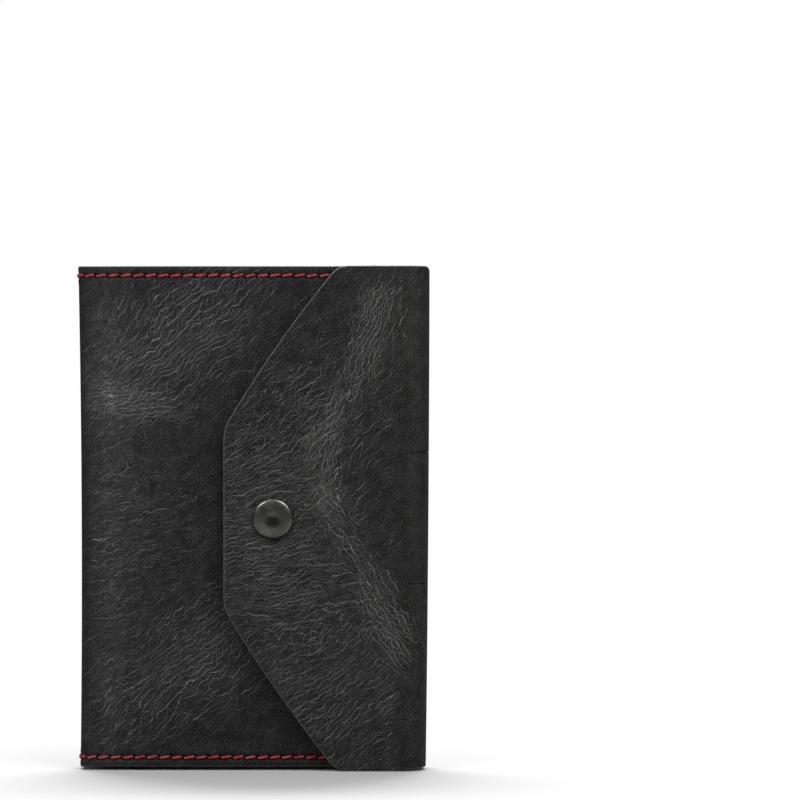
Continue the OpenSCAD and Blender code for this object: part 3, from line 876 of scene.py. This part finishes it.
# The front pocket's other end is closed by the hide that turns in round it
front_pocket = make_suede(
    "front_pocket_suede", POCKET,
    steps_through([u_on_front(POCKET_HIGH[0]), u_on_front(POCKET_LOW[0]) - EDGE_R], HOLE_STEP),
    POCKET_LOW[2], FRONT_SEAMS, ("top", "bottom", "high_u"), front_pocket_inside)
back_pocket = make_suede(
    "back_pocket_suede", POCKET,
    steps_through([u_on_back(BACK_POCKET_LOW[0]) + EDGE_R, u_on_back(BACK_POCKET_HIGH[0]) - EDGE_R], HOLE_STEP),
    BACK_POCKET_LOW[2], BACK_SEAMS, ("top", "bottom", "low_u", "high_u"), sewn_inside)
lining = make_suede(
    "spine_lining_suede", SPINE_LINING, steps_through([U_FRONT, U_BACK, *SPINE_HOLES], 0.5),
    LIFT, FRONT_SEAMS, ("top", "bottom"), sewn_inside)
for piece, body, node in ((front_pocket, "front", "front_pocket"), (back_pocket, "back", "back_pocket"),
                          (lining, "spine", "spine_lining")):
    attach(piece, body)
    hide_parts(node)


# ---------------- saddle stitches
PLY_R, PLY_OUT, TWIST = 0.23, 0.22, 1.7      # a ply's radius, its way off the thread's middle, one full turn
PLIES, RING, ALONG = 3, 6, 21                # plies in the thread, points round a ply and along it
# Painted shade: the thread's colour is darkest within CORE_R, between its plies.
CORE_R = 0.12                                # the thread is darkest within this, between its plies
SLANT = 0.72                                 # a stitch is this much higher at one end
THREAD_PROUD = 0.2                           # the middle of the thread stands this far out of the hide
DIVE = 1.35                                  # and goes this far down at the holes


def stitch(u0, u1, z0, z1, depth_of, seed):
    """One stitch of three-ply twisted thread from hole to hole: its vertices, faces and twist shading."""
    t = np.linspace(0, 1, ALONG)
    ends = np.abs(2 * t - 1) ** 6
    # Painted shade: pulls the shading below 0 where the thread dives into the holes.
    dive_shade = -3.0 * smooth((ends - 0.09) / 0.15)
    mid = place(u0 + (u1 - u0) * t, z0 + (z1 - z0) * t, depth_of(ends))
    tangent = np.gradient(mid, axis=0)
    tangent /= np.linalg.norm(tangent, axis=1, keepdims=True)
    side = np.cross(tangent, (0, 0, 1.0))
    side /= np.linalg.norm(side, axis=1, keepdims=True)
    up = np.cross(side, tangent)
    length = np.linalg.norm(mid[-1] - mid[0])
    points, faces, shade = [], [], []
    for ply in range(PLIES):
        turn = 2 * math.pi * (ply / PLIES + t * length / TWIST + seed)
        centre = mid + PLY_OUT * (np.cos(turn)[:, None] * side + np.sin(turn)[:, None] * up)
        base = ply * RING * ALONG
        round_ply = 2 * math.pi * np.arange(RING) / RING
        ring = np.stack([centre + PLY_R * (math.cos(a) * side + math.sin(a) * up) for a in round_ply], 1)
        points.append(ring.reshape(-1, 3))
        # Painted shading: 1 on the plies' crowns, 0 nearest the thread's middle.
        crown = (np.linalg.norm(ring - mid[:, None, :], axis=-1) - CORE_R) / (PLY_OUT + PLY_R - CORE_R)
        shade.append((np.clip(crown, 0, 1) + dive_shade[:, None]).ravel())
        for i in range(ALONG - 1):
            for k in range(RING):
                a, b = base + i * RING + k, base + i * RING + (k + 1) % RING
                faces.append((a, b, b + RING, a + RING))
        faces.append(tuple(base + k for k in range(RING)))
        faces.append(tuple(base + (ALONG - 1) * RING + k for k in reversed(range(RING))))
    return np.concatenate(points), faces, np.concatenate(shade)


def seam(name, holes, z, slant, inner):
    """A row of stitches outside and one inside, at depth inner, as one piece."""
    points, faces, shade = [], [], []
    count = 0
    for i, (a, b) in enumerate(zip(holes, holes[1:])):
        wobble = 0.06 * math.sin(7.3 * i + z)
        for depth_of, seed in (
                (lambda e: -THREAD_PROUD + DIVE * e, 0.13 * i),
                (lambda e: inner + THREAD_PROUD - DIVE * e, 0.4 + 0.17 * i)):
            p, f, s = stitch(a, b, z + slant / 2 + wobble, z - slant / 2 + wobble, depth_of, seed)
            points.append(p)
            shade.append(s)
            faces += [tuple(v + count for v in face) for face in f]
            count += len(p)
    mesh = bpy.data.meshes.new(name)
    points = np.concatenate(points)
    mesh.from_pydata((points * MM).tolist(), [], faces)
    add_field(mesh, "twist", np.concatenate(shade))
    add_field(mesh, "hide", points)
    mesh.shade_smooth()
    piece = new_object(name, mesh, THREAD)
    return piece


POCKET_INNER = HIDE + POCKET
SPINE_INNER = HIDE + SPINE_LINING
for end, z_front, z_back in (("top", Z_TOP_SEAM, Z_TOP_SEAM), ("bottom", Z_FRONT_LOW_SEAM, Z_BACK_LOW_SEAM)):
    front = seam(f"front_{end}_stitches", FRONT_HOLES, z_front, -SLANT, POCKET_INNER)
    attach(front, "front")
    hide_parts(f"front_{end}_seam")
    back = seam(f"back_{end}_stitches", BACK_HOLES, z_back, -SLANT, POCKET_INNER)
    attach(back, "back")
    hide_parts(f"back_{end}_seam")
    round_spine = seam(f"spine_{end}_stitches", SPINE_HOLES, z_front, SLANT, SPINE_INNER)
    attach(round_spine, "spine")
    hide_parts(f"spine_{end}_seam")
    front_fold = seam(f"front_{end}_fold_stitch", (FRONT_HOLES[0], SPINE_HOLES[0]), z_front, SLANT, SPINE_INNER)
    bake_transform(front_fold)
    back_fold = seam(f"back_{end}_fold_stitch", (SPINE_HOLES[-1], BACK_HOLES[0]), (z_front + z_back) / 2, SLANT,
                     SPINE_INNER)
    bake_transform(back_fold)


# ---------------- snap
def lathe(name, profile, material, turns=72):
    """A profile of (radius, height above the flap's face) turned about the snap's axis."""
    radius, height = np.array(profile).T[..., None]
    angle = np.linspace(0, 2 * math.pi, turns, endpoint=False)
    mesh = bpy.data.meshes.new(name)
    points = np.stack([SNAP_X + radius * np.cos(angle), Y_FLAP - height + 0 * angle,
                       Z_MID + radius * np.sin(angle)], -1)
    faces = []
    for i in range(len(profile) - 1):
        for k in range(turns):
            j = (k + 1) % turns
            faces.append((i * turns + k, i * turns + j, (i + 1) * turns + j, (i + 1) * turns + k))
    mesh.from_pydata((points.reshape(-1, 3) * MM).tolist(), [], faces)
    weld(mesh, 1e-7)
    return new_object(name, mesh, material)


RIM_R, RIM_OUT = 1.1, 0.15           # the edge that rolls over, and how far it stands out past the CAD cap
RIM_LEAN = 16                        # slope of the dome where the edge starts, in degrees
DOME_FALL, EDGE_FALL, DIMPLE = 0.46, 0.16, 0.20      # how far the dome falls all the way out, at its edge, and in
POST_R, HEAD_R, HEAD_H = 1.5, 2.1, 0.2       # rivet post, and its head behind the flap


def cap_profile():
    """A low dome with a shallow dimple, an edge that rolls over, and the rivet post that goes through the flap."""
    lean, edge = math.radians(RIM_LEAN), CAP_R + RIM_OUT
    r = np.linspace(0, edge - RIM_R * (1 - math.sin(lean)), 26)
    top = (CAP_H - DOME_FALL * (r / CAP_R) ** 2.2 - EDGE_FALL * (r / CAP_R) ** 10
           - DIMPLE * np.exp(-(r / 1.9) ** 2))
    profile = list(zip(r, top))
    for a in np.radians(np.linspace(68, -22, 12)):
        profile.append((edge - RIM_R + RIM_R * math.cos(a), top[-1] + RIM_R * (math.sin(a) - math.cos(lean))))
    under = -HIDE - 0.4
    return profile + [(CAP_R - 0.9, 0.0), (POST_R, 0.0), (POST_R, under), (HEAD_R, under),
                      (HEAD_R, under - HEAD_H), (0, under - HEAD_H - 0.05)]


cap = lathe("snap_cap_shell", cap_profile(), ANTIQUE)
# Painted dark reflection: a soft black spot low on the dome. Painted shade: the cap's parts at and below the flap's
# face.
spots = np.array([v.co for v in cap.data.vertices]) / MM - (SNAP_X, 0, Z_MID)
reflection_blot = smooth(1.7 - 1.5 * np.hypot((spots[:, 0] + 0.1) / 2.9, (spots[:, 2] + 0.9) / 2.2))
hidden = spots[:, 1] > Y_FLAP - 0.08
add_field(cap.data, "dark_reflection_and_shade", np.maximum(0.72 * reflection_blot, 0.9 * hidden))
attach(cap, "flap")
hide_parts("snap_cap")
finish_cad("snap_steel", STEEL, "snap_socket", "snap_spring", "snap_stud", "snap_eyelet")


# ---------------- floor, light and camera
FLOOR_SEEN, FLOOR_LIT = 0.70, 0.25           # the floor's grey to the camera, and for the light it throws back
FLOOR_FADE = (0.045, 0.13)                   # metres out, where it starts to fade and where it is white


def make_stage():
    """A pale floor that fades to white away from the object, as the camera sees it."""
    mesh = bpy.data.meshes.new("floor")
    mesh.from_pydata([(-4, -4, 0), (4, -4, 0), (4, 4, 0), (-4, 4, 0)], [], [(0, 1, 2, 3)])
    m = Nodes(bpy.data.materials.new("floor"))
    direct = m.node("ShaderNodeLightPath").outputs["Is Camera Ray"]
    m.set(m.shader.inputs["Base Color"], m.mix(direct, (FLOOR_LIT,) * 3 + (1,), (FLOOR_SEEN,) * 3 + (1,)))
    m.shader.inputs["Roughness"].default_value = 0.8
    m.shader.inputs["Specular IOR Level"].default_value = 0.0
    where = m.node("ShaderNodeNewGeometry").outputs["Position"]
    away = m.node("ShaderNodeVectorMath", {0: where}, operation="LENGTH").outputs["Value"]
    seen = m.times(m.ramp(away, *FLOOR_FADE), direct)
    white = m.node("ShaderNodeEmission", {"Color": (1, 1, 1, 1), "Strength": 1.0})
    mix = m.node("ShaderNodeMixShader", {0: seen, 1: m.shader.outputs[0], 2: white.outputs[0]})
    m.set(m.surface, mix.outputs[0])
    floor = new_object("floor", mesh, m.owner)


def soft_light(name, at, towards, width, height, power):
    """A softbox of width by height metres."""
    lamp = bpy.data.lights.new(name, "AREA")
    lamp.shape, lamp.size, lamp.size_y, lamp.energy = "RECTANGLE", width, height, power
    piece = bpy.data.objects.new(name, lamp)
    piece.location = at
    piece.rotation_euler = (Vector(towards) - Vector(at)).to_track_quat("-Z", "Y").to_euler()
    bpy.context.scene.collection.objects.link(piece)


def make_world():
    """Soft light that grows towards the top of the room; the camera sees plain white."""
    m = Nodes(bpy.data.worlds.new("studio"))
    bpy.context.scene.world = m.owner
    way = m.node("ShaderNodeTexCoord").outputs["Generated"]
    up = m.node("ShaderNodeSeparateXYZ", {0: way}).outputs["Z"]
    m.set(m.shader.inputs["Strength"], m.ramp(up, -0.15, 0.9, 0.03, 0.42))
    m.shader.inputs["Color"].default_value = (1, 1, 1, 1)
    seen = m.node("ShaderNodeBackground", {"Color": (1, 1, 1, 1), "Strength": 1.0})
    direct = m.node("ShaderNodeLightPath").outputs["Is Camera Ray"]
    mix = m.node("ShaderNodeMixShader", {0: direct, 1: m.shader.outputs[0], 2: seen.outputs[0]})
    m.set(m.surface, mix.outputs[0])


# The camera stands well back, and the cover is left of its picture's middle and below it
EYE = (0.0462, -1.206, 0.1169)
LENS = 171.3


def make_camera():
    lens = bpy.data.cameras.new("camera")
    lens.lens, lens.sensor_width = LENS, 36.0
    lens.clip_start, lens.clip_end = 0.01, 20
    camera = bpy.data.objects.new("camera", lens)
    camera.location = EYE
    camera.rotation_euler = (math.pi / 2, 0, 0)
    bpy.context.scene.collection.objects.link(camera)
    bpy.context.scene.camera = camera


make_stage()
make_world()
make_camera()
soft_light("key", (0.50, -0.55, 0.85), (0, 0, 0.08), 0.6, 0.6, 4.4)
soft_light("fill", (-0.55, -0.68, 0.74), (0, 0, 0.08), 0.3, 0.3, 2.4)
soft_light("top", (-0.05, 0.45, 0.90), (0, 0, 0), 0.8, 0.3, 10.0)
bpy.context.scene.view_settings.view_transform = "Standard"
